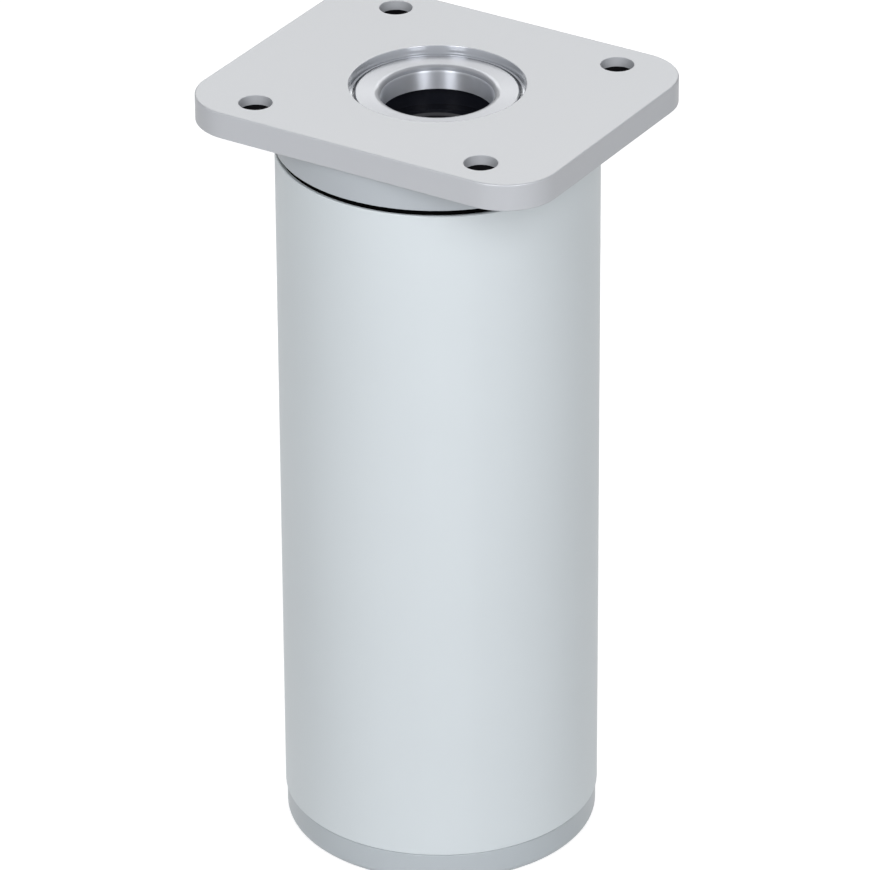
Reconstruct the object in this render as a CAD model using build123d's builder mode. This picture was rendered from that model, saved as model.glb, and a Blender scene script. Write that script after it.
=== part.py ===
from build123d import *
import os
from math import cos, radians, sin

# Height-adjustable furniture leg.
# A die-cast mounting plate carries a plastic plug with a threaded hub.
# The plate is hollow at both ends, and a plastic infill closes each end from below.
# The plug is pressed into an aluminium tube.
# A spindle hangs in the hub and does not rise. It is turned through the centre hole with a hex key.
# Its lower thread drives a captive nut, which pushes the foot down out of the tube.
# Millimetres, +Z up, the origin is on the floor under the middle of the foot.
# The foot is drawn fully retracted.

os.makedirs("parts", exist_ok=True)

# Driving dimensions: tube
tube_diameter = 60.0
tube_wall = 1.5
tube_length = 135.0
tube_edge_break = 0.15

# Driving dimensions: mounting plate
plate_margin_x = 7.5
plate_margin_y = 1.0
plate_thickness = 5.2
plate_corner_radius = 10.5
plate_edge_radius = 0.3
plate_lower_break = 0.15
plate_skin = 1.9
plate_wall = 2.2
pocket_start = 14.0
screw_web = 0.741
screw_hole_diameter = 6.2
screw_hole_break = 0.08
collar_height = 5.9
collar_wall = 3.2
collar_overhang = 0.1
collar_edge_radius = 0.15
recess_depth = 1.75
recess_edge_radius = 0.15
recess_groove_width = 0.3
recess_groove_depth = 0.5
seat_ring_width = 0.4
seat_depth = 1.75
boss_margin = 3.31
boss_drop = 0.85

# Driving dimensions: infills that close the hollow ends of the plate
plate_infill_count = 2
infill_inset = 0.3

# Driving dimensions: flanged sleeve in the recess
sleeve_flange_width = 4.8
sleeve_wall = 1.0
sleeve_flange_thickness = 2.0
sleeve_groove = 0.4
sleeve_edge_radius = 0.35
sleeve_mouth_radius = 1.2

# Driving dimensions: upper plug
plug_rim_thickness = 1.15
plug_rim_inset = 0.6
plug_deck_thickness = 5.0
plug_skirt_length = 26.0
plug_skirt_wall = 2.2
plug_web_thickness = 1.8
plug_web_height = 14.0
plug_web_count = 8
plug_web_overlap = 0.5
crush_rib_count = 12
crush_rib_width = 1.4
crush_rib_height = 0.3
cavity_diameter = 24.8
cavity_depth = 4.0
hub_thread_diameter = 20.0
hub_wall = 3.4

# Driving dimensions: screws between plug and plate
plug_screw_count = 4
plug_screw_web = 1.39
plug_screw_diameter = 4.0
plug_screw_head_diameter = 7.4
plug_screw_head_height = 2.6
plug_screw_head_break = 0.8
plug_screw_grip = 4.4
plug_screw_drive_width = 2.4
plug_screw_drive_depth = 1.3

# Driving dimensions: spindle and its bearing
key_across_flats = 6.0
key_socket_depth = 7.0
neck_diameter = 12.0
neck_stand = 4.6
bush_length = 10.0
bush_drop = 8.95
bush_pin_hole_diameter = 1.6
bush_pin_hole_depth = 3.0
washer_thickness = 1.0
thrust_collar_height = 3.0
thrust_collar_diameter = 17.6
ring_thickness = 1.0
ring_section = 2.1
ring_groove_depth = 0.3
ring_gap = 5.0
groove_overcut = 0.5
spindle_diameter = 10.0
spindle_end_chamfer = 1.0
spindle_end_clearance = 2.5
spindle_end_stand = 1.0

# Driving dimensions: adjustment and foot
foot_travel = 18.0
foot_inset = 0.3
foot_rim_height = 5.95
foot_gap = 0.2
foot_edge_radius = 1.5
foot_top_break = 0.15
foot_skirt_height = 34.0
foot_skirt_wall = 3.0
foot_floor_thickness = 3.0
foot_web_thickness = 1.8
foot_web_height = 18.0
foot_web_count = 6
foot_web_overlap = 0.5
column_wall = 2.6
column_shoulder = 2.5
column_bore_diameter = 17.0
nut_across_flats = 16.0
nut_thickness = 8.4
nut_chamfer = 0.6
cap_thickness = 1.6
cap_sink = 0.6
pad_thickness = 1.8
pad_proud = 0.4
pad_margin = 4.2
pad_edge_break = 0.3

# Driving dimensions: guide ring in the lower end of the tube
guide_length = 22.0
guide_wall = 2.3
key_count = 3
key_width = 4.0
key_height = 1.4
key_root_overlap = 0.5

# Clearances
press_clearance = 0.02
fixed_clearance = 0.05
running_clearance = 0.06
axial_play = 0.1
slide_clearance = 0.3
screw_clearance = 0.2
hat_clearance = 0.3

# Levels up the leg
foot_bottom = pad_proud
foot_shoulder = foot_bottom + foot_rim_height
tube_bottom = foot_shoulder + foot_gap
tube_top = tube_bottom + tube_length
collar_bottom = tube_top + plug_rim_thickness
plate_bottom = collar_bottom + collar_height
plate_top = plate_bottom + plate_thickness
recess_ledge = plate_top - recess_depth
seat_floor = recess_ledge - seat_depth
pocket_top = plate_top - plate_skin
infill_bottom = plate_bottom + infill_inset
boss_bottom = plate_bottom - boss_drop
deck_bottom = boss_bottom - plug_deck_thickness
hub_top = boss_bottom - cavity_depth
bush_top = hub_top - bush_drop
bush_bottom = bush_top - bush_length
washer_top = bush_bottom - axial_play
collar_top = washer_top - washer_thickness
hub_bottom = collar_top - thrust_collar_height
ring_bottom = bush_top + axial_play
spindle_top = ring_bottom + ring_thickness + neck_stand
pad_bottom = 0.0
pad_top = pad_bottom + pad_thickness
spindle_end = pad_top + spindle_end_clearance
stop_ring_bottom = spindle_end + spindle_end_stand
stop_ring_top = stop_ring_bottom + ring_thickness
shoulder_bottom = stop_ring_top + axial_play + foot_travel
nut_bottom = shoulder_bottom + column_shoulder
nut_top = nut_bottom + nut_thickness
column_top = nut_top + cap_thickness + cap_sink
floor_top = foot_bottom + pad_thickness - pad_proud + foot_floor_thickness

# Radii that the pieces share
tube_radius = tube_diameter / 2
tube_bore_radius = tube_radius - tube_wall
plate_length = tube_diameter + 2 * plate_margin_x
plate_width = tube_diameter + 2 * plate_margin_y
collar_radius = tube_radius + collar_overhang
screw_hole_radius = screw_hole_diameter / 2
screw_spacing = 2 * (collar_radius + screw_hole_radius + screw_web) * cos(radians(45))
collar_inner_radius = collar_radius - collar_wall
pocket_length = plate_length - 2 * plate_wall
pocket_width = plate_width - 2 * plate_wall
pocket_corner_radius = plate_corner_radius - plate_wall
plug_skirt_radius = tube_bore_radius - press_clearance - crush_rib_height
plug_skirt_bore_radius = plug_skirt_radius - plug_skirt_wall
hub_bore_radius = hub_thread_diameter / 2
hub_radius = hub_bore_radius + hub_wall
plug_screw_radius = plug_screw_diameter / 2
plug_screw_circle_radius = (hub_radius + plug_skirt_bore_radius) / 2
plug_screw_start_angle = 180 / plug_web_count
recess_radius = plug_screw_circle_radius - plug_screw_radius - plug_screw_web
boss_radius = plug_screw_circle_radius + boss_margin
seat_radius = recess_radius - recess_groove_width - seat_ring_width
sleeve_flange_radius = seat_radius - sleeve_groove
sleeve_bore_radius = sleeve_flange_radius - sleeve_flange_width
sleeve_shank_radius = sleeve_bore_radius + sleeve_wall
plate_hole_radius = sleeve_shank_radius + fixed_clearance
hub_exit_radius = thrust_collar_diameter / 2 + slide_clearance
neck_radius = neck_diameter / 2
bush_pin_circle_radius = (hub_bore_radius + neck_radius + ring_section) / 2
spindle_radius = spindle_diameter / 2
guide_radius = tube_bore_radius - press_clearance
guide_bore_radius = guide_radius - guide_wall
foot_radius = tube_radius - foot_inset
foot_skirt_radius = guide_bore_radius - slide_clearance
foot_skirt_bore_radius = foot_skirt_radius - foot_skirt_wall
nut_pocket_apothem = nut_across_flats / 2 + fixed_clearance
column_radius = nut_pocket_apothem / cos(radians(30)) + column_wall
pad_radius = foot_radius - pad_margin

# Mounting plate: one casting with the collar, the boss, a pocket at each end and the sleeve's stepped seat
with BuildPart() as mounting_plate:
    with BuildSketch(Plane.XY.offset(plate_bottom)):
        RectangleRounded(plate_length, plate_width, plate_corner_radius)
    extrude(amount=plate_thickness)
    fillet(mounting_plate.faces().sort_by(Axis.Z)[-1].edges(), radius=plate_edge_radius)
    chamfer(mounting_plate.faces().sort_by(Axis.Z)[0].edges(), length=plate_lower_break)
    with BuildSketch(Plane.XY.offset(collar_bottom)):
        Circle(collar_radius)
    extrude(amount=collar_height)
    with BuildSketch(Plane.XY.offset(collar_bottom)):
        Circle(collar_inner_radius)
    extrude(amount=collar_height, mode=Mode.SUBTRACT)
    with BuildSketch(Plane.XY.offset(boss_bottom)):
        Circle(boss_radius)
    extrude(amount=boss_drop)
    fillet(
        mounting_plate.edges().filter_by(GeomType.CIRCLE).filter_by_position(
            Axis.Z, collar_bottom, collar_bottom
        ).sort_by(SortBy.RADIUS)[-1],
        radius=collar_edge_radius,
    )
    with Locations(Plane.XY.offset(plate_top)):
        CounterBoreHole(plate_hole_radius, seat_radius, recess_depth + seat_depth)
    with BuildSketch(Plane.XY.offset(plate_top)):
        Circle(recess_radius)
    extrude(amount=-recess_depth, mode=Mode.SUBTRACT)
    with BuildSketch(Plane.XY.offset(recess_ledge)):
        Circle(recess_radius)
        Circle(recess_radius - recess_groove_width, mode=Mode.SUBTRACT)
    extrude(amount=-recess_groove_depth, mode=Mode.SUBTRACT)
    fillet(
        mounting_plate.edges().filter_by(GeomType.CIRCLE).filter_by_position(
            Axis.Z, plate_top, plate_top
        ).sort_by(SortBy.RADIUS)[-1],
        radius=recess_edge_radius,
    )
    with BuildSketch(Plane.XY.offset(plate_bottom)):
        RectangleRounded(pocket_length, pocket_width, pocket_corner_radius)
        Circle(collar_radius, mode=Mode.SUBTRACT)
        Rectangle(2 * pocket_start, pocket_width, mode=Mode.SUBTRACT)
    extrude(amount=pocket_top - plate_bottom, mode=Mode.SUBTRACT)
    with Locations(Plane.XY.offset(plate_top)):
        with GridLocations(screw_spacing, screw_spacing, 2, 2):
            Hole(screw_hole_radius)
    chamfer(
        mounting_plate.edges().filter_by(GeomType.CIRCLE).filter_by_position(
            Axis.Z, plate_top, plate_top
        ).sort_by(SortBy.RADIUS)[:4],
        length=screw_hole_break,
    )
    with BuildSketch(Plane.XY.offset(boss_bottom)):
        with PolarLocations(plug_screw_circle_radius, plug_screw_count, start_angle=plug_screw_start_angle):
            Circle(plug_screw_radius + press_clearance)
    extrude(amount=plug_screw_grip + screw_clearance, mode=Mode.SUBTRACT)
mounting_plate.part.label = "mounting_plate"
export_step(mounting_plate.part, "parts/mounting_plate.step")

# Plate infills: a nylon block in each pocket of the plate, with clearance holes for the mounting screws
for infill_number in range(plate_infill_count):
    infill_side = 1 - 2 * infill_number
    infill_middle = infill_side * (pocket_start + fixed_clearance + plate_length / 4)
    with BuildPart() as plate_infill:
        with BuildSketch(Plane.XY.offset(infill_bottom)):
            RectangleRounded(
                pocket_length - 2 * fixed_clearance,
                pocket_width - 2 * fixed_clearance,
                pocket_corner_radius - fixed_clearance,
            )
            Circle(collar_radius + fixed_clearance, mode=Mode.SUBTRACT)
            with GridLocations(screw_spacing, screw_spacing, 2, 2):
                Circle(screw_hole_radius + fixed_clearance, mode=Mode.SUBTRACT)
            with Locations((infill_middle, 0)):
                Rectangle(plate_length / 2, plate_width, mode=Mode.INTERSECT)
        extrude(amount=pocket_top - fixed_clearance - infill_bottom)
    plate_infill.part.label = f"plate_infill_{infill_number + 1}"
    export_step(plate_infill.part, f"parts/plate_infill_{infill_number + 1}.step")

# Centre sleeve: a flanged bush that guides the key and closes the recess
with BuildPart() as centre_sleeve:
    with BuildSketch(Plane.XY.offset(seat_floor)):
        Circle(sleeve_flange_radius)
    extrude(amount=sleeve_flange_thickness)
    with BuildSketch(Plane.XY.offset(boss_bottom)):
        Circle(sleeve_shank_radius)
    extrude(amount=seat_floor - boss_bottom)
    with Locations(Plane.XY.offset(seat_floor + sleeve_flange_thickness)):
        Hole(sleeve_bore_radius)
    fillet(
        centre_sleeve.faces().sort_by(Axis.Z)[-1].edges().sort_by(SortBy.RADIUS)[-1],
        radius=sleeve_edge_radius,
    )
    fillet(
        centre_sleeve.faces().sort_by(Axis.Z)[-1].edges().sort_by(SortBy.RADIUS)[0],
        radius=sleeve_mouth_radius,
    )
centre_sleeve.part.label = "centre_sleeve"
export_step(centre_sleeve.part, "parts/centre_sleeve.step")

# Upper plug: rim between collar and tube, hat inside the collar, ribbed skirt inside the tube
with BuildPart() as upper_plug:
    with BuildSketch(Plane.XY.offset(tube_top)):
        Circle(tube_radius - plug_rim_inset)
    extrude(amount=plug_rim_thickness)
    with BuildSketch(Plane.XY.offset(collar_bottom)):
        Circle(collar_inner_radius - hat_clearance)
    extrude(amount=boss_bottom - collar_bottom)
    with BuildSketch(Plane.XY.offset(tube_top)):
        Circle(plug_skirt_radius)
    extrude(amount=-plug_skirt_length)
    with BuildSketch(Plane.XY.offset(tube_top)):
        with PolarLocations(plug_skirt_radius, crush_rib_count):
            Rectangle(2 * crush_rib_height, crush_rib_width)
        Circle(guide_radius, mode=Mode.INTERSECT)
    extrude(amount=-plug_skirt_length)
    with BuildSketch(Plane.XY.offset(deck_bottom)):
        Circle(plug_skirt_bore_radius)
    extrude(amount=tube_top - plug_skirt_length - deck_bottom, mode=Mode.SUBTRACT)
    with BuildSketch(Plane.XY.offset(deck_bottom)):
        Circle(hub_radius)
    extrude(amount=hub_bottom - deck_bottom)
    with BuildSketch(Plane.XY.offset(deck_bottom)):
        with PolarLocations((hub_radius + plug_skirt_bore_radius) / 2, plug_web_count):
            Rectangle(plug_skirt_bore_radius - hub_radius + 2 * plug_web_overlap, plug_web_thickness)
    extrude(amount=-plug_web_height)
    with Locations(Plane.XY.offset(boss_bottom)):
        CounterBoreHole(hub_exit_radius, cavity_diameter / 2, cavity_depth)
    with BuildSketch(Plane.XY.offset(hub_top)):
        Circle(hub_bore_radius)
    extrude(amount=bush_bottom - hub_top, mode=Mode.SUBTRACT)
    with BuildSketch(Plane.XY.offset(boss_bottom)):
        with PolarLocations(plug_screw_circle_radius, plug_screw_count, start_angle=plug_screw_start_angle):
            Circle(plug_screw_radius + screw_clearance)
    extrude(amount=-plug_deck_thickness, mode=Mode.SUBTRACT)
upper_plug.part.label = "upper_plug"
export_step(upper_plug.part, "parts/upper_plug.step")

# Plug screws: four pan-head thread-forming screws that go up through the deck into the boss
for screw_number in range(plug_screw_count):
    screw_angle = plug_screw_start_angle + screw_number * 360 / plug_screw_count
    screw_x = plug_screw_circle_radius * cos(radians(screw_angle))
    screw_y = plug_screw_circle_radius * sin(radians(screw_angle))
    with BuildPart() as plug_screw:
        with BuildSketch(Plane.XY.offset(deck_bottom)):
            with Locations((screw_x, screw_y)):
                Circle(plug_screw_head_diameter / 2)
        extrude(amount=-plug_screw_head_height)
        chamfer(plug_screw.faces().sort_by(Axis.Z)[0].edges(), length=plug_screw_head_break)
        with BuildSketch(Plane.XY.offset(deck_bottom)):
            with Locations((screw_x, screw_y)):
                Circle(plug_screw_radius)
        extrude(amount=plug_deck_thickness + plug_screw_grip)
        with BuildSketch(Plane.XY.offset(deck_bottom - plug_screw_head_height)):
            with Locations((screw_x, screw_y)):
                Rectangle(plug_screw_drive_width, plug_screw_drive_width / 3)
                Rectangle(plug_screw_drive_width / 3, plug_screw_drive_width)
        extrude(amount=plug_screw_drive_depth, mode=Mode.SUBTRACT)
    plug_screw.part.label = f"plug_screw_{screw_number + 1}"
    export_step(plug_screw.part, f"parts/plug_screw_{screw_number + 1}.step")

# Bearing bush: screwed into the hub, with two pin holes for the wrench
with BuildPart() as bearing_bush:
    with BuildSketch(Plane.XY.offset(bush_bottom)):
        Circle(hub_bore_radius - fixed_clearance)
        Circle(neck_radius + running_clearance, mode=Mode.SUBTRACT)
    extrude(amount=bush_length)
    with Locations(Plane.XY.offset(bush_top)):
        with PolarLocations(bush_pin_circle_radius, 2):
            Hole(bush_pin_hole_diameter / 2, depth=bush_pin_hole_depth)
bearing_bush.part.label = "bearing_bush"
export_step(bearing_bush.part, "parts/bearing_bush.step")

# Tube: plain round extrusion, cut square and deburred
with BuildPart() as tube:
    with BuildSketch(Plane.XY.offset(tube_bottom)):
        Circle(tube_radius)
        Circle(tube_bore_radius, mode=Mode.SUBTRACT)
    extrude(amount=tube_length)
    chamfer(
        tube.edges().filter_by(GeomType.CIRCLE).sort_by(SortBy.RADIUS)[-2:],
        length=tube_edge_break,
    )
tube.part.label = "tube"
export_step(tube.part, "parts/tube.step")

# Guide ring: pressed into the lower end of the tube, its keys stop the foot from turning
with BuildPart() as guide_ring:
    with BuildSketch(Plane.XY.offset(tube_bottom)):
        Circle(guide_radius)
        Circle(guide_bore_radius, mode=Mode.SUBTRACT)
        with PolarLocations(guide_bore_radius - key_height / 2, key_count):
            Rectangle(key_height + 2 * key_root_overlap, key_width)
    extrude(amount=guide_length)
guide_ring.part.label = "guide_ring"
export_step(guide_ring.part, "parts/guide_ring.step")

# Spindle: hex socket and bearing neck at the top, thrust collar, long thread down to the nut
with BuildPart() as spindle:
    with BuildSketch(Plane.XY.offset(collar_top)):
        Circle(neck_radius)
    extrude(amount=spindle_top - collar_top)
    with BuildSketch(Plane.XY.offset(hub_bottom)):
        Circle(thrust_collar_diameter / 2)
    extrude(amount=thrust_collar_height)
    with BuildSketch(Plane.XY.offset(spindle_end)):
        Circle(spindle_radius)
    extrude(amount=hub_bottom - spindle_end)
    chamfer(
        [spindle.edges().sort_by(Axis.Z)[0], spindle.edges().sort_by(Axis.Z)[-1]],
        length=spindle_end_chamfer,
    )
    with BuildSketch(Plane.XY.offset(spindle_top)):
        RegularPolygon(key_across_flats / 2, 6, major_radius=False)
    extrude(amount=-key_socket_depth, mode=Mode.SUBTRACT)
    with BuildSketch(Plane.XY.offset(ring_bottom)):
        Circle(neck_radius + groove_overcut)
        Circle(neck_radius - ring_groove_depth, mode=Mode.SUBTRACT)
    extrude(amount=ring_thickness, mode=Mode.SUBTRACT)
    with BuildSketch(Plane.XY.offset(stop_ring_bottom)):
        Circle(spindle_radius + groove_overcut)
        Circle(spindle_radius - ring_groove_depth, mode=Mode.SUBTRACT)
    extrude(amount=ring_thickness, mode=Mode.SUBTRACT)
spindle.part.label = "spindle"
export_step(spindle.part, "parts/spindle.step")

# Thrust washer between the bush and the collar of the spindle
with BuildPart() as thrust_washer:
    with BuildSketch(Plane.XY.offset(collar_top)):
        Circle(thrust_collar_diameter / 2)
        Circle(neck_radius + fixed_clearance, mode=Mode.SUBTRACT)
    extrude(amount=washer_thickness)
thrust_washer.part.label = "thrust_washer"
export_step(thrust_washer.part, "parts/thrust_washer.step")

# Retaining ring: open spring ring in the groove of the neck, above the bush
with BuildPart() as retaining_ring:
    with BuildSketch(Plane.XY.offset(ring_bottom)):
        Circle(neck_radius + ring_section)
        Circle(neck_radius - ring_groove_depth + press_clearance, mode=Mode.SUBTRACT)
        with Locations((neck_radius + ring_section, 0)):
            Rectangle(2 * ring_section + 2 * ring_groove_depth, ring_gap, mode=Mode.SUBTRACT)
    extrude(amount=ring_thickness)
retaining_ring.part.label = "retaining_ring"
export_step(retaining_ring.part, "parts/retaining_ring.step")

# End stop ring: open spring ring at the end of the thread, which stops the foot at full travel
with BuildPart() as end_stop_ring:
    with BuildSketch(Plane.XY.offset(stop_ring_bottom)):
        Circle(spindle_radius + ring_section)
        Circle(spindle_radius - ring_groove_depth + press_clearance, mode=Mode.SUBTRACT)
        with Locations((spindle_radius + ring_section, 0)):
            Rectangle(2 * ring_section + 2 * ring_groove_depth, ring_gap, mode=Mode.SUBTRACT)
    extrude(amount=ring_thickness)
end_stop_ring.part.label = "end_stop_ring"
export_step(end_stop_ring.part, "parts/end_stop_ring.step")

# Foot: moulded shell with a visible rim, a grooved guide skirt and a column for the nut
with BuildPart() as foot:
    with BuildSketch(Plane.XY.offset(foot_bottom)):
        Circle(foot_radius)
    extrude(amount=foot_rim_height)
    fillet(foot.faces().sort_by(Axis.Z)[0].edges(), radius=foot_edge_radius)
    chamfer(foot.faces().sort_by(Axis.Z)[-1].edges(), length=foot_top_break)
    with BuildSketch(Plane.XY.offset(foot_shoulder)):
        Circle(foot_skirt_radius)
        with PolarLocations(foot_skirt_radius, key_count):
            Rectangle(
                2 * (key_height + slide_clearance),
                key_width + 2 * slide_clearance,
                mode=Mode.SUBTRACT,
            )
    extrude(amount=foot_skirt_height)
    with BuildSketch(Plane.XY.offset(floor_top)):
        Circle(foot_skirt_bore_radius)
    extrude(amount=foot_shoulder + foot_skirt_height - floor_top, mode=Mode.SUBTRACT)
    with BuildSketch(Plane.XY.offset(floor_top)):
        Circle(column_radius)
    extrude(amount=column_top - floor_top)
    with BuildSketch(Plane.XY.offset(floor_top)):
        with PolarLocations(
            (column_radius + foot_skirt_bore_radius) / 2, foot_web_count, start_angle=180 / foot_web_count
        ):
            Rectangle(foot_skirt_bore_radius - column_radius + 2 * foot_web_overlap, foot_web_thickness)
    extrude(amount=foot_web_height)
    with BuildSketch(Plane.XY.offset(foot_bottom)):
        Circle(pad_radius + fixed_clearance)
    extrude(amount=pad_thickness - pad_proud, mode=Mode.SUBTRACT)
    with BuildSketch(Plane.XY.offset(foot_bottom)):
        Circle(column_bore_diameter / 2)
    extrude(amount=shoulder_bottom - foot_bottom, mode=Mode.SUBTRACT)
    with BuildSketch(Plane.XY.offset(shoulder_bottom)):
        Circle(spindle_radius + slide_clearance)
    extrude(amount=column_shoulder, mode=Mode.SUBTRACT)
    with BuildSketch(Plane.XY.offset(nut_bottom)):
        RegularPolygon(nut_pocket_apothem, 6, major_radius=False)
    extrude(amount=column_top - nut_bottom, mode=Mode.SUBTRACT)
foot.part.label = "foot"
export_step(foot.part, "parts/foot.step")

# Foot nut: hex nut captive in the pocket of the column
with BuildPart() as foot_nut:
    with BuildSketch(Plane.XY.offset(nut_bottom)):
        RegularPolygon(nut_across_flats / 2, 6, major_radius=False)
        Circle(spindle_radius + running_clearance, mode=Mode.SUBTRACT)
    extrude(amount=nut_thickness)
    chamfer(
        foot_nut.edges().filter_by(GeomType.CIRCLE),
        length=nut_chamfer,
    )
foot_nut.part.label = "foot_nut"
export_step(foot_nut.part, "parts/foot_nut.step")

# Nut cap: hexagonal plug pressed in above the nut
with BuildPart() as nut_cap:
    with BuildSketch(Plane.XY.offset(nut_top)):
        RegularPolygon(nut_pocket_apothem - press_clearance, 6, major_radius=False)
        Circle(spindle_radius + slide_clearance, mode=Mode.SUBTRACT)
    extrude(amount=cap_thickness)
nut_cap.part.label = "nut_cap"
export_step(nut_cap.part, "parts/nut_cap.step")

# Foot pad: soft disc set into the underside of the foot
with BuildPart() as foot_pad:
    with BuildSketch(Plane.XY.offset(pad_bottom)):
        Circle(pad_radius)
    extrude(amount=pad_thickness)
    chamfer(foot_pad.faces().sort_by(Axis.Z)[0].edges(), length=pad_edge_break)
foot_pad.part.label = "foot_pad"
export_step(foot_pad.part, "parts/foot_pad.step")
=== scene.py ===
# %% [markdown]
# A furniture leg, dressed for the studio
# The leg is a lacquered die-cast plate on an anodised tube, with a moulded foot below. Its solids
# come from a CAD model and are not changed here. This lesson gives every surface its finish, cuts
# the one fine thread that the solids leave plain, and sets up the camera and the lights.
# Each step says what a piece or a finish is on the real leg, how it could be made, and why it is
# made this way here.

import math

import bpy
from mathutils import Matrix, Vector


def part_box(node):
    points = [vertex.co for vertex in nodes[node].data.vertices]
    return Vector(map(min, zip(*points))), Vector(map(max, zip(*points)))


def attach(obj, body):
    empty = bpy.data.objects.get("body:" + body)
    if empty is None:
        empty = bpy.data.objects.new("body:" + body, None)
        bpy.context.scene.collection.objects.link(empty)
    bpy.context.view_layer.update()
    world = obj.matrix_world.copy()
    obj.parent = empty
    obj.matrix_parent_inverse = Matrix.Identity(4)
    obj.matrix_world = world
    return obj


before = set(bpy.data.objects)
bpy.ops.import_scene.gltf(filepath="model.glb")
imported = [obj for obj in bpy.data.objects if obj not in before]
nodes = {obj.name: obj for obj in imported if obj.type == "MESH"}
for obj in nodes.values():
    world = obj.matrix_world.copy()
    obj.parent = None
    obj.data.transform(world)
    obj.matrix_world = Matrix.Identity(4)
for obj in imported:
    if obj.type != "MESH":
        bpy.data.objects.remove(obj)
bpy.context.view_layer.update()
print("nodes in the frame:", sorted(nodes))

# %% [markdown]
# A drawing of the leg is in millimetres, and Blender works in metres, so sizes are written as a
# number times MM. The height of the plate's top could be typed in again. It is read from the solids
# instead, so that it stays right if the leg is made longer.

# %% Height of the plate
MM = 0.001
plate_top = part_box("mounting_plate")[1].z
print("plate top at", round(plate_top / MM, 2), "mm")

# %% [markdown]
# The camera stands where the photographer stood: about 32 degrees round from the long side of the
# plate and 28 degrees above it. It could be moved by hand until the picture looks right, but a
# place that is worked out from angles and a distance can be repeated and corrected. This first
# cell turns the angles into the camera's own directions: right, up and back.


# %% Directions of the camera
def camera_axes(azimuth, elevation, roll):
    """Right, up and back of a camera that looks at the leg's axis."""
    back = Vector((
        math.sin(azimuth) * math.cos(elevation),
        -math.cos(azimuth) * math.cos(elevation),
        math.sin(elevation),
    ))
    level = Vector((math.cos(azimuth), math.sin(azimuth), 0))
    upright = back.cross(level)
    right = level * math.cos(roll) + upright * math.sin(roll)
    return right, back.cross(right), back


CAMERA_AZIMUTH = math.radians(31.99)
CAMERA_ELEVATION = math.radians(28.42)
CAMERA_ROLL = math.radians(-0.36)
right, up, back = camera_axes(CAMERA_AZIMUTH, CAMERA_ELEVATION, CAMERA_ROLL)
print("the camera looks along", [round(-v, 3) for v in back])

# %% [markdown]
# The photo was taken with a long lens from more than a metre away, which keeps the sides of the
# tube almost parallel. A short lens close by would fill the picture as well, but it would spread
# the plate. The camera is moved a little aside and down from the centre of the plate, so that the
# plate is at the top of the picture and the foot at the bottom.

# %% Camera
CAMERA_DISTANCE = 1239.17 * MM
CAMERA_ASIDE = -0.43 * MM
CAMERA_BELOW = -64.25 * MM
CAMERA_NEAREST = 10 * MM
PICTURE_SIDE = 870
FOCAL_PIXELS = 6783.7
SENSOR_WIDTH = 36.0

camera_data = bpy.data.cameras.new("studio_camera")
camera_data.sensor_width = SENSOR_WIDTH
camera_data.lens = FOCAL_PIXELS / PICTURE_SIDE * SENSOR_WIDTH
camera_data.dof.use_dof = False
camera_data.clip_start = CAMERA_NEAREST
camera = bpy.data.objects.new("studio_camera", camera_data)
bpy.context.scene.collection.objects.link(camera)
turn = Matrix((right, up, back)).transposed().to_4x4()
plate_centre = Vector((0, 0, plate_top))
place = plate_centre + back * CAMERA_DISTANCE + right * CAMERA_ASIDE + up * CAMERA_BELOW
camera.matrix_world = Matrix.Translation(place) @ turn
bpy.context.scene.camera = camera
bpy.context.scene.view_settings.view_transform = "Standard"
print("camera at", [round(v, 3) for v in place], "lens", round(camera_data.lens, 1), "mm")

# %% [markdown]
# The leg was lit as a catalogue shot, with two tall soft boxes, one on each side of the camera.
# Small lamps would give hard points of light. An area lamp has the size and shape of a real soft
# box, and its reflection has too: this pair draws the two upright streaks in the bore.

# %% Two soft boxes beside the camera
LAMP_DISTANCE = 1.5
LAMP_HALF_ANGLE = math.radians(27)
SIDE_LAMP_SIZE = (0.45, 1.1)
SIDE_LAMP_ELEVATION = math.radians(30)
SIDE_LAMP_COLOUR = (0.985, 0.995, 1.035)
LEFT_LAMP_WATTS = 11.8
RIGHT_LAMP_WATTS = 10.7


def soft_box(name, azimuth, elevation, distance, size, watts, colour):
    """A lamp of a given size and place that faces the middle of the leg."""
    data = bpy.data.lights.new(name, "AREA")
    data.shape = "RECTANGLE"
    data.size, data.size_y = size
    data.energy = watts
    data.color = colour
    middle = Vector((0, 0, plate_top / 2))
    place = middle + camera_axes(azimuth, elevation, 0)[2] * distance
    lamp = bpy.data.objects.new(name, data)
    lamp.location = place
    lamp.rotation_euler = (middle - place).to_track_quat("-Z", "Y").to_euler()
    bpy.context.scene.collection.objects.link(lamp)
    print("lamp", name, "at", [round(v, 2) for v in place])


for side, name, watts in ((-1, "left_box", LEFT_LAMP_WATTS), (1, "right_box", RIGHT_LAMP_WATTS)):
    soft_box(
        name, CAMERA_AZIMUTH + side * LAMP_HALF_ANGLE, SIDE_LAMP_ELEVATION, LAMP_DISTANCE,
        SIDE_LAMP_SIZE, watts, SIDE_LAMP_COLOUR,
    )

# %% [markdown]
# A third, wide soft box stands behind the leg. Its light glances off the top of the plate, which
# keeps the top brighter than the sides, and it leaves a soft shade under the back of the recess.
# A lamp straight above would light the top as well, but without that shade.

# %% Soft box behind the leg
TOP_LAMP_SIZE = (1.6, 0.7)
TOP_LAMP_DISTANCE = 1.7
TOP_LAMP_ELEVATION = math.radians(38)
TOP_LAMP_WATTS = 9.0
TOP_LAMP_COLOUR = (1.0, 1.0, 0.99)

soft_box(
    "top_box", CAMERA_AZIMUTH + math.pi, TOP_LAMP_ELEVATION, TOP_LAMP_DISTANCE,
    TOP_LAMP_SIZE, TOP_LAMP_WATTS, TOP_LAMP_COLOUR,
)

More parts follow.
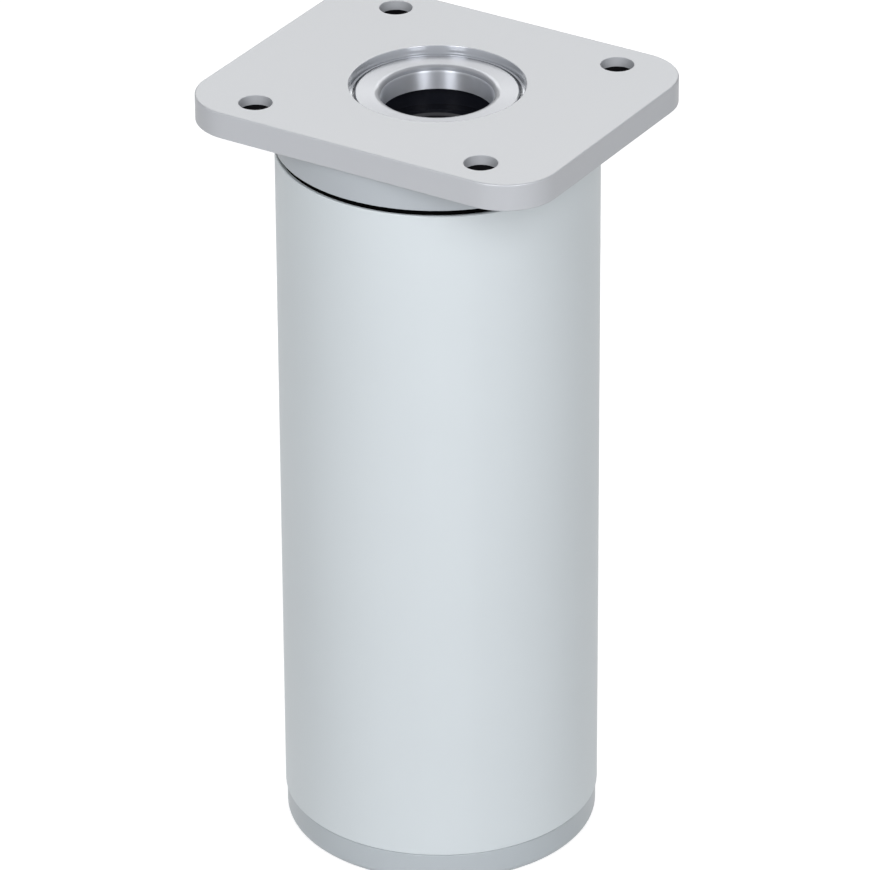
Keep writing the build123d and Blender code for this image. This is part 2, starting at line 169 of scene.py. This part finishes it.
# %% [markdown]
# A material is a tree of nodes. Three small helpers make most of its links: sums with one or two
# values, a blend between two colours, and a value spread between two ends. The nodes could be
# placed one by one each time, but that takes four lines where a helper takes one.


# %% Helpers for node trees
def math_node(tree, operation, first, second=None):
    node = tree.nodes.new("ShaderNodeMath")
    node.operation = operation
    for socket, value in zip(node.inputs, (first, second)):
        if isinstance(value, (int, float)):
            socket.default_value = value
        elif value is not None:
            tree.links.new(value, socket)
    return node.outputs[0]


def vary_colour(tree, fac, low, high):
    blend = tree.nodes.new("ShaderNodeMix")
    blend.data_type = "RGBA"
    blend.inputs["A"].default_value = (*low, 1)
    blend.inputs["B"].default_value = (*high, 1)
    tree.links.new(fac, blend.inputs["Factor"])
    return blend.outputs["Result"]


def vary_value(tree, fac, low, high):
    spread = tree.nodes.new("ShaderNodeMapRange")
    spread.inputs["To Min"].default_value = low
    spread.inputs["To Max"].default_value = high
    tree.links.new(fac, spread.inputs["Value"])
    return spread.outputs["Result"]


print("helpers: math_node, vary_colour, vary_value")

# %% [markdown]
# The room is white. Rays from the camera, and rays that bounce off metal, see it at full strength,
# so the background is white and the metal reflects a white room. The soft light on everything else
# comes from a much dimmer, slightly blue copy of it. One white for both would be simpler, but it
# would clip the pale surfaces and wash out their shape.

# %% White room
ROOM_FILL = 0.05
ROOM_SEEN = 1.0
FILL_TINT = (0.88, 0.98, 1.08)
WHITE = (1, 1, 1)


def seen_directly(tree):
    """1 for camera, glossy and transmission rays, else 0."""
    path = tree.nodes.new("ShaderNodeLightPath")
    camera_or_glossy = math_node(
        tree, "MAXIMUM", path.outputs["Is Camera Ray"], path.outputs["Is Glossy Ray"]
    )
    return math_node(tree, "MAXIMUM", camera_or_glossy, path.outputs["Is Transmission Ray"])


world = bpy.data.worlds.new("white_room")
world.use_nodes = True
bpy.context.scene.world = world
room = world.node_tree
direct = seen_directly(room)
background = room.nodes["Background"]
room.links.new(vary_value(room, direct, ROOM_FILL, ROOM_SEEN), background.inputs["Strength"])
room.links.new(vary_colour(room, direct, FILL_TINT, WHITE), background.inputs["Color"])
print("room", world.name, "fills with", ROOM_FILL, "of its white")

# %% [markdown]
# The floor is one big sheet of paper, a hair below the pad, so that the two never share a plane.
# Its shader is a dull grey that still takes a faint shadow, lifted to white where it is seen
# directly. A plain white sheet would light the tube from below too strongly.
# The underside of the sheet lets the camera through, so a view from below shows the foot.

# %% Floor
FLOOR_SIZE = 30.0
FLOOR_LEVEL = -0.05 * MM
FLOOR_LIFT = 0.80
PAPER = {"Base Color": (0.50, 0.50, 0.50, 1), "Roughness": 0.9, "Specular IOR Level": 0.1}


def new_material(name, **sockets):
    """A material with its shader, and values for the shader's sockets."""
    material = bpy.data.materials.new(name)
    material.use_nodes = True
    shader = material.node_tree.nodes["Principled BSDF"]
    for socket, value in sockets.items():
        shader.inputs[socket].default_value = value
    return material, material.node_tree, shader


def link_mesh(name, vertices, faces, material):
    mesh = bpy.data.meshes.new(name)
    mesh.from_pydata(vertices, [], faces)
    mesh.validate()
    mesh.materials.append(material)
    piece = bpy.data.objects.new(name, mesh)
    bpy.context.scene.collection.objects.link(piece)
    print("piece", name, len(vertices), "vertices")
    return piece


floor_paper, paper, paper_shader = new_material("floor_paper", **PAPER)
lift = paper.nodes.new("ShaderNodeEmission")
lifted = paper.nodes.new("ShaderNodeAddShader")
clear = paper.nodes.new("ShaderNodeBsdfTransparent")
sheet = paper.nodes.new("ShaderNodeNewGeometry")
one_sided = paper.nodes.new("ShaderNodeMixShader")
lift_strength = math_node(paper, "MULTIPLY", seen_directly(paper), FLOOR_LIFT)
paper.links.new(lift_strength, lift.inputs["Strength"])
paper.links.new(paper_shader.outputs[0], lifted.inputs[0])
paper.links.new(lift.outputs[0], lifted.inputs[1])
paper.links.new(sheet.outputs["Backfacing"], one_sided.inputs["Fac"])
paper.links.new(lifted.outputs[0], one_sided.inputs[1])
paper.links.new(clear.outputs[0], one_sided.inputs[2])
paper.links.new(one_sided.outputs[0], paper.nodes["Material Output"].inputs["Surface"])

half = FLOOR_SIZE / 2
corners = [(-half, -half, 0), (half, -half, 0), (half, half, 0), (-half, half, 0)]
studio_floor = link_mesh("studio_floor", corners, [(0, 1, 2, 3)], floor_paper)
studio_floor.location.z = FLOOR_LEVEL

# %% [markdown]
# Several finishes share the same small effects: the spark texture of a mould, the rings that a
# lathe leaves, the lines that an extrusion die leaves. Their nodes could be copied into every
# material. A node group is made once instead, and each material places it with its own values.


# %% Helpers for node groups
def new_group(name, inputs, outputs):
    """A group with number sockets. Gives back the group, its input node and its output node."""
    group = bpy.data.node_groups.new(name, "ShaderNodeTree")
    for label, value in inputs.items():
        socket = group.interface.new_socket(label, in_out="INPUT", socket_type="NodeSocketFloat")
        socket.default_value = value
    for label in outputs:
        group.interface.new_socket(label, in_out="OUTPUT", socket_type="NodeSocketFloat")
    print("node group", name)
    return group, group.nodes.new("NodeGroupInput"), group.nodes.new("NodeGroupOutput")


def use_group(tree, group, **values):
    node = tree.nodes.new("ShaderNodeGroup")
    node.node_tree = group
    for label, value in values.items():
        node.inputs[label].default_value = value
    return node


def noise_node(tree, vector, scale, detail, roughness):
    noise = tree.nodes.new("ShaderNodeTexNoise")
    noise.inputs["Detail"].default_value = detail
    noise.inputs["Roughness"].default_value = roughness
    tree.links.new(vector, noise.inputs["Vector"])
    tree.links.new(scale, noise.inputs["Scale"])
    return noise.outputs["Fac"]


print("helpers: new_group, use_group, noise_node")


# %% [markdown]
# Fine grain is the faint orange peel of lacquer, or the spark texture that a mould gives to
# plastic. A picture of such a surface would have to be wrapped round every piece and would blur
# close up. Noise is worked out at each point, so it is sharp at any size. One output is the height
# of the grain, and the other a large soft cloud that shifts colour and roughness.

# %% Group: fine grain
GRAIN = {"detail": 3.0, "roughness": 0.5}
CLOUD = {"detail": 2.0, "roughness": 0.5}

fine_grain, given, result = new_group(
    "fine_grain", {"Scale": 1500.0, "Cloud Scale": 25.0}, ("Height", "Cloud")
)
spot = fine_grain.nodes.new("ShaderNodeTexCoord").outputs["Object"]
grain_height = noise_node(fine_grain, spot, given.outputs["Scale"], **GRAIN)
cloud = noise_node(fine_grain, spot, given.outputs["Cloud Scale"], **CLOUD)
fine_grain.links.new(grain_height, result.inputs["Height"])
fine_grain.links.new(cloud, result.inputs["Cloud"])

# %% [markdown]
# A lathe leaves fine rings round the axis of the piece. They could be cut into the mesh, which
# would take millions of faces. Here they are noise that changes only with the distance from the
# axis and with the height, so it is the same all the way round.

# %% Group: turned lines
TURNING = {"detail": 4.0, "roughness": 0.6}


def point_parts(group):
    """The x, y and z of the point that is shaded, in metres."""
    parts = group.nodes.new("ShaderNodeSeparateXYZ")
    spot = group.nodes.new("ShaderNodeTexCoord").outputs["Object"]
    group.links.new(spot, parts.inputs[0])
    return [parts.outputs[label] for label in "XYZ"]


def radius_and_height(group):
    """How far a point is from the leg's axis, and how high it is."""
    x, y, z = point_parts(group)
    squares = [math_node(group, "MULTIPLY", side, side) for side in (x, y)]
    return {"Radius": math_node(group, "SQRT", math_node(group, "ADD", *squares)), "Height": z}


turned_lines, given, result = new_group("turned_lines", {"Scale": 3000.0}, ("Height",))
measured = radius_and_height(turned_lines)
ring = turned_lines.nodes.new("ShaderNodeCombineXYZ")
turned_lines.links.new(measured["Radius"], ring.inputs["X"])
turned_lines.links.new(measured["Height"], ring.inputs["Y"])
lines = noise_node(turned_lines, ring.outputs[0], given.outputs["Scale"], **TURNING)
turned_lines.links.new(lines, result.inputs["Height"])

# %% [markdown]
# The tube was pushed through a die, and the die leaves faint lines along it. A wave pattern would
# repeat and look printed. Noise that is stretched many times along the tube gives lines of
# different width and depth, as the real ones have.

# %% Group: drawn lines
DRAWING = {"detail": 3.0, "roughness": 0.55}

drawn_lines, given, result = new_group(
    "drawn_lines", {"Scale": 2200.0, "Stretch": 0.004}, ("Height",)
)
x, y, z = point_parts(drawn_lines)
squeezed = math_node(drawn_lines, "MULTIPLY", z, given.outputs["Stretch"])
line = drawn_lines.nodes.new("ShaderNodeCombineXYZ")
for part, socket in zip((x, y, squeezed), line.inputs):
    drawn_lines.links.new(part, socket)
lines = noise_node(drawn_lines, line.outputs[0], given.outputs["Scale"], **DRAWING)
drawn_lines.links.new(lines, result.inputs["Height"])

# %% [markdown]
# Some solids have more than one finish: the plate is bored after casting, and the sleeve has a
# satin flange and a turned bore. Masks also paint shade, on the collar under the plate and on the
# sleeve's mouth. Their faces could be given different materials one by one. A mask needs no picking
# of faces: it is 1 nearer to the axis than a radius, or lower than a height, and the change of
# finish lies on a sharp edge of the solid.


# %% Groups: masks by radius and by height
def mask_group(name, label, value):
    group, given, result = new_group(name, {label: value}, ("Mask",))
    mask = math_node(group, "LESS_THAN", radius_and_height(group)[label], given.outputs[label])
    group.links.new(mask, result.inputs["Mask"])
    return group


inside_radius = mask_group("inside_radius", "Radius", 10 * MM)
below_height = mask_group("below_height", "Height", 100 * MM)

# %% [markdown]
# Every finish has the same base: a colour that a soft cloud shifts a little, and a bump from the
# effect that suits the process. One flat colour would look like plastic on every piece. The
# constants go straight on the shader's own sockets, and only what changes over the surface is
# linked.


# %% Base of a finish
def shade(colour, factor):
    return tuple(min(1.0, c * factor) for c in colour)


def start_finish(name, colour, spread, metallic, **grain_values):
    material, tree, shader = new_material(name, Metallic=metallic)
    grain = use_group(tree, fine_grain, **grain_values)
    low, high = shade(colour, 1 - spread), shade(colour, 1 + spread)
    base = vary_colour(tree, grain.outputs["Cloud"], low, high)
    tree.links.new(base, shader.inputs["Base Color"])
    print("finish", name)
    return material, tree, shader, grain


def add_bump(tree, shader, height, depth):
    bump = tree.nodes.new("ShaderNodeBump")
    bump.inputs["Distance"].default_value = depth
    tree.links.new(height, bump.inputs["Height"])
    tree.links.new(bump.outputs["Normal"], shader.inputs["Normal"])


print("helpers: start_finish, add_bump")

# %% [markdown]
# Lacquer, moulded plastic and rubber have a grain without direction. They differ in colour, in how
# rough they are and in how deep and fine the grain is, so one function makes them all.

# %% Finish with a grain
GRAIN_ROUGHNESS_SHIFT = 0.03
GRAIN_COLOUR_SHIFT = 0.04


def grained_finish(name, colour, rough, grain, depth, metallic=0.0, gloss=0.5):
    """Grain is in bumps per metre, depth in metres."""
    material, tree, shader, texture = start_finish(
        name, colour, GRAIN_COLOUR_SHIFT, metallic, Scale=grain
    )
    shader.inputs["Specular IOR Level"].default_value = gloss
    low, high = rough - GRAIN_ROUGHNESS_SHIFT, rough + GRAIN_ROUGHNESS_SHIFT
    roughness = vary_value(tree, texture.outputs["Cloud"], low, high)
    tree.links.new(roughness, shader.inputs["Roughness"])
    add_bump(tree, shader, texture.outputs["Height"], depth)
    return material


print("helper: grained_finish, colour shift", GRAIN_COLOUR_SHIFT)

# %% [markdown]
# Turned and drawn metal reflects along one direction: a highlight stretches across the fine lines.
# The lines alone are too fine to do this in a render, so the shader's anisotropy does it, with a
# tangent that runs round the leg's axis.

# %% Finish with lines
LINE_ROUGHNESS_SHIFT = 0.04
LINE_COLOUR_SHIFT = 0.03
QUARTER_TURN = 0.25


def lined_finish(name, colour, rough, group, depth, metallic=1.0, anisotropic=0.0):
    material, tree, shader, _ = start_finish(name, colour, LINE_COLOUR_SHIFT, metallic)
    height = use_group(tree, group).outputs["Height"]
    roughness = vary_value(tree, height, rough - LINE_ROUGHNESS_SHIFT, rough + LINE_ROUGHNESS_SHIFT)
    tree.links.new(roughness, shader.inputs["Roughness"])
    if anisotropic:
        around = tree.nodes.new("ShaderNodeTangent")
        around.direction_type = "RADIAL"
        around.axis = "Z"
        tree.links.new(around.outputs["Tangent"], shader.inputs["Tangent"])
        shader.inputs["Anisotropic"].default_value = anisotropic
        shader.inputs["Anisotropic Rotation"].default_value = QUARTER_TURN
    add_bump(tree, shader, height, depth)
    return material


print("helper: lined_finish, colour shift", LINE_COLOUR_SHIFT)

# %% [markdown]
# The plate is a zinc die casting under satin silver lacquer. The lacquer levels out most of the
# casting's texture and leaves a faint orange peel. It could be a full metal, but lacquer scatters
# light like paint, so it is only a quarter metallic.

# %% Plate lacquer
PLATE_SILVER = (0.505, 0.515, 0.53)


def dress(node, material):
    """Puts a finish on a solid."""
    mesh = nodes[node].data
    mesh.materials.clear()
    mesh.materials.append(material)
    print(node, "wears", material.name)


plate_lacquer = grained_finish(
    "plate_lacquer", PLATE_SILVER, rough=0.42, grain=1800.0, depth=0.006 * MM, metallic=0.25
)
dress("mounting_plate", plate_lacquer)

# %% [markdown]
# The collar under the plate is painted a little darker and bluer, as painted shade under the
# plate's overhang. The recess is bored after casting, so its wall is smoother and reflects more.
# Both are parts of the same solid, so masks change the lacquer there.

# %% Collar and recess wall
COLLAR_TOP = plate_top - 5.25 * MM
# Painted shade: the collar's lacquer is darkened and tinted blue for the shade under the plate.
COLLAR_PAINTED_SHADE = {"Base Color": (0.452, 0.482, 0.502, 1)}
RECESS_RIM = 16.4 * MM
RECESS_WALL = {"Base Color": (0.52, 0.535, 0.56, 1), "Metallic": 0.4, "Roughness": 0.20}


def mix_socket(tree, target, fac, value):
    """Blends a socket of the shader towards a value where fac is 1."""
    blend = tree.nodes.new("ShaderNodeMix")
    blend.data_type = "RGBA" if target.type == "RGBA" else "FLOAT"
    low, high = [s for s in blend.inputs if s.type == target.type and s.name in ("A", "B")]
    if target.is_linked:
        tree.links.new(target.links[0].from_socket, low)
    else:
        low.default_value = target.default_value
    high.default_value = value
    tree.links.new(fac, blend.inputs["Factor"])
    tree.links.new([s for s in blend.outputs if s.type == target.type][0], target)


def change_finish(material, group, sockets, **limit):
    """Changes a finish where the mask of a group is 1."""
    tree = material.node_tree
    mask = use_group(tree, group, **limit).outputs["Mask"]
    for label, value in sockets.items():
        mix_socket(tree, tree.nodes["Principled BSDF"].inputs[label], mask, value)
    print("changed", material.name, "where", group.name, limit)


# Paints shade on the collar, below the plate's underside.
change_finish(plate_lacquer, below_height, COLLAR_PAINTED_SHADE, Height=COLLAR_TOP)
change_finish(plate_lacquer, inside_radius, RECESS_WALL, Radius=RECESS_RIM)

# %% [markdown]
# The sleeve is turned metal, and its highlights stretch across the turning lines. Its flange is
# satin and mirrors the wall of the recess. The lower half of its rounded mouth is dull, and its
# colour there is darkened as painted shade. Its bore draws the two tall lamps out into two upright
# streaks. A metal that is equally rough in all directions would blur them into one soft patch.

# %% Sleeve
FLANGE_METAL = (0.315, 0.325, 0.345)
SLEEVE_MOUTH = 10.78 * MM
# Painted shade: the lower half of the mouth gets a darker colour, as well as a duller metal.
MOUTH_DULL_PAINTED_SHADE = {"Base Color": (0.24, 0.25, 0.27, 1), "Metallic": 0.2, "Roughness": 0.50}
SLEEVE_BORE = 10.45 * MM
BORE_METAL = {"Base Color": (0.60, 0.62, 0.66, 1), "Metallic": 0.9, "Roughness": 0.42}

sleeve_metal = lined_finish(
    "sleeve_metal", FLANGE_METAL, rough=0.20, group=turned_lines, depth=0.002 * MM,
    metallic=0.42, anisotropic=0.9,
)
# Paints shade on the lower half of the mouth and makes it dull.
change_finish(sleeve_metal, inside_radius, MOUTH_DULL_PAINTED_SHADE, Radius=SLEEVE_MOUTH)
change_finish(sleeve_metal, inside_radius, BORE_METAL, Radius=SLEEVE_BORE)
dress("centre_sleeve", sleeve_metal)

# %% [markdown]
# The tube is matt anodised aluminium. Anodising etches the metal first, so it reflects softly, with
# a faint grey-green tint and the die's lines along it. A bright metal with a high roughness would
# turn dark towards its sides. The oxide layer scatters light like chalk, so most of the colour is
# not metallic.

# %% Tube
ANODISED = (0.67, 0.715, 0.725)

anodised = lined_finish(
    "anodised_aluminium", ANODISED, rough=0.45, group=drawn_lines, depth=0.002 * MM, metallic=0.2
)
dress("tube", anodised)

# %% [markdown]
# The foot is moulded in silver-grey plastic. Fine metal flakes in the plastic make it shimmer a
# little. The flakes could be drawn as a texture of their own, but at this size they only show as a
# slight metallic share.

# %% Foot
FOOT_GREY = (0.488, 0.527, 0.543)
MOULD_GRAIN = 2500.0

foot_plastic = grained_finish(
    "foot_plastic", FOOT_GREY, rough=0.38, grain=MOULD_GRAIN, depth=0.003 * MM, metallic=0.1
)
dress("foot", foot_plastic)

# %% [markdown]
# The guide ring, the nut cap and the two infills under the plate are black nylon. The pad under the
# foot is black rubber, with a coarse deep grain and hardly any shine. Pure black would hide their
# shape, so both reflect a little light.

# %% Black nylon and rubber
BLACK = (0.004, 0.004, 0.005)
RUBBER_BLACK = (0.035, 0.035, 0.037)
infills = [node for node in nodes if node.startswith("plate_infill_")]

black_nylon = grained_finish(
    "black_nylon", BLACK, rough=0.55, grain=MOULD_GRAIN, depth=0.005 * MM, gloss=0.06
)
for node in ("guide_ring", "nut_cap", *infills):
    dress(node, black_nylon)
pad_rubber = grained_finish(
    "pad_rubber", RUBBER_BLACK, rough=0.75, grain=1200.0, depth=0.03 * MM, gloss=0.3
)
dress("foot_pad", pad_rubber)

# %% [markdown]
# The plug is black nylon too. Its rim is the thin black line between collar and tube, and takes no
# shine at all. Its well came off a polished core, so it has a faint sheen. A coat that a mask turns
# on inside the well gives that sheen and leaves the rim dull.

# %% Plug
RIM_BLACK = (0.002, 0.002, 0.002)
HUB_BLACK = (0.010, 0.011, 0.016)
PLUG_CAVITY = 12.6 * MM
CAVITY_SHEEN = {"Base Color": (*HUB_BLACK, 1), "Coat Weight": 0.5}
CAVITY_COAT_ROUGHNESS = 0.25

plug_nylon = grained_finish(
    "plug_nylon", RIM_BLACK, rough=0.50, grain=MOULD_GRAIN, depth=0.005 * MM, gloss=0.0
)
plug_shader = plug_nylon.node_tree.nodes["Principled BSDF"]
plug_shader.inputs["Coat Roughness"].default_value = CAVITY_COAT_ROUGHNESS
change_finish(plug_nylon, inside_radius, CAVITY_SHEEN, Radius=PLUG_CAVITY)
dress("upper_plug", plug_nylon)

# %% [markdown]
# The working parts are zinc-plated steel, phosphated spring steel and turned brass. Only the end of
# the spindle and the bush show, down the centre hole, and most come out of the same lathe. They
# could share one metal, but the dark rings and the yellow bush help to tell the parts apart.

# %% Metal parts
PLATED = (0.60, 0.61, 0.62)
PHOSPHATED = (0.10, 0.10, 0.105)
BRASS = (0.72, 0.53, 0.26)
screws = [node for node in nodes if node.startswith("plug_screw_")]

for name, colour, rough, depth, dressed in (
    ("plated_steel", PLATED, 0.28, 0.002 * MM, ("spindle", "thrust_washer", "foot_nut", *screws)),
    ("spring_steel", PHOSPHATED, 0.40, 0.002 * MM, ("retaining_ring", "end_stop_ring")),
    ("turned_brass", BRASS, 0.25, 0.003 * MM, ("bearing_bush",)),
):
    metal = lined_finish(name, colour, rough, turned_lines, depth)
    for node in dressed:
        dress(node, metal)

# %% [markdown]
# The CAD solids leave fine threads plain. The one that shows is in the hub of the plug, a few turns
# below the sleeve. It could be a bump, but the light falls on it from the side and its crests have
# to stand out. So it is a real ridge: a trapezium that winds up the bore, closed at both ends.

# %% Hub thread
THREAD_PITCH = 1.0 * MM
THREAD_CREST_RADIUS = 9.46 * MM
THREAD_ROOT_RADIUS = 10.02 * MM
THREAD_STEPS = 72
ROOT_HALF_WIDTH = 0.46
CREST_HALF_WIDTH = 0.08
HUB_DEPTH = 10.05 * MM


def helical_ridge(root, crest, pitch, low, high, steps):
    """A closed ridge that winds from low to high. Half widths are in pitches."""
    section = (
        (root, -ROOT_HALF_WIDTH), (crest, -CREST_HALF_WIDTH),
        (crest, CREST_HALF_WIDTH), (root, ROOT_HALF_WIDTH),
    )
    sides = len(section)
    count = int(((high - low) / pitch - 1) * steps) + 1
    vertices = []
    for step in range(count):
        angle = 2 * math.pi * step / steps
        height = low + pitch / 2 + pitch * step / steps
        for radius, rise in section:
            across = (radius * math.cos(angle), radius * math.sin(angle))
            vertices.append((*across, height + rise * pitch))
    faces = []
    for step in range(count - 1):
        for side in range(sides):
            here = step * sides + side
            after = step * sides + (side + 1) % sides
            faces.append((here, after, after + sides, here + sides))
    faces.append(tuple(reversed(range(sides))))
    faces.append(tuple(range((count - 1) * sides, count * sides)))
    return vertices, faces


hub_nylon = grained_finish(
    "hub_nylon", HUB_BLACK, rough=0.28, grain=MOULD_GRAIN, depth=0.002 * MM
)
bush_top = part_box("bearing_bush")[1].z
hub_top = plate_top - HUB_DEPTH
vertices, faces = helical_ridge(
    THREAD_ROOT_RADIUS, THREAD_CREST_RADIUS, THREAD_PITCH, bush_top, hub_top, THREAD_STEPS
)
hub_thread = link_mesh("hub_thread", vertices, faces, hub_nylon)
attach(hub_thread, "leg")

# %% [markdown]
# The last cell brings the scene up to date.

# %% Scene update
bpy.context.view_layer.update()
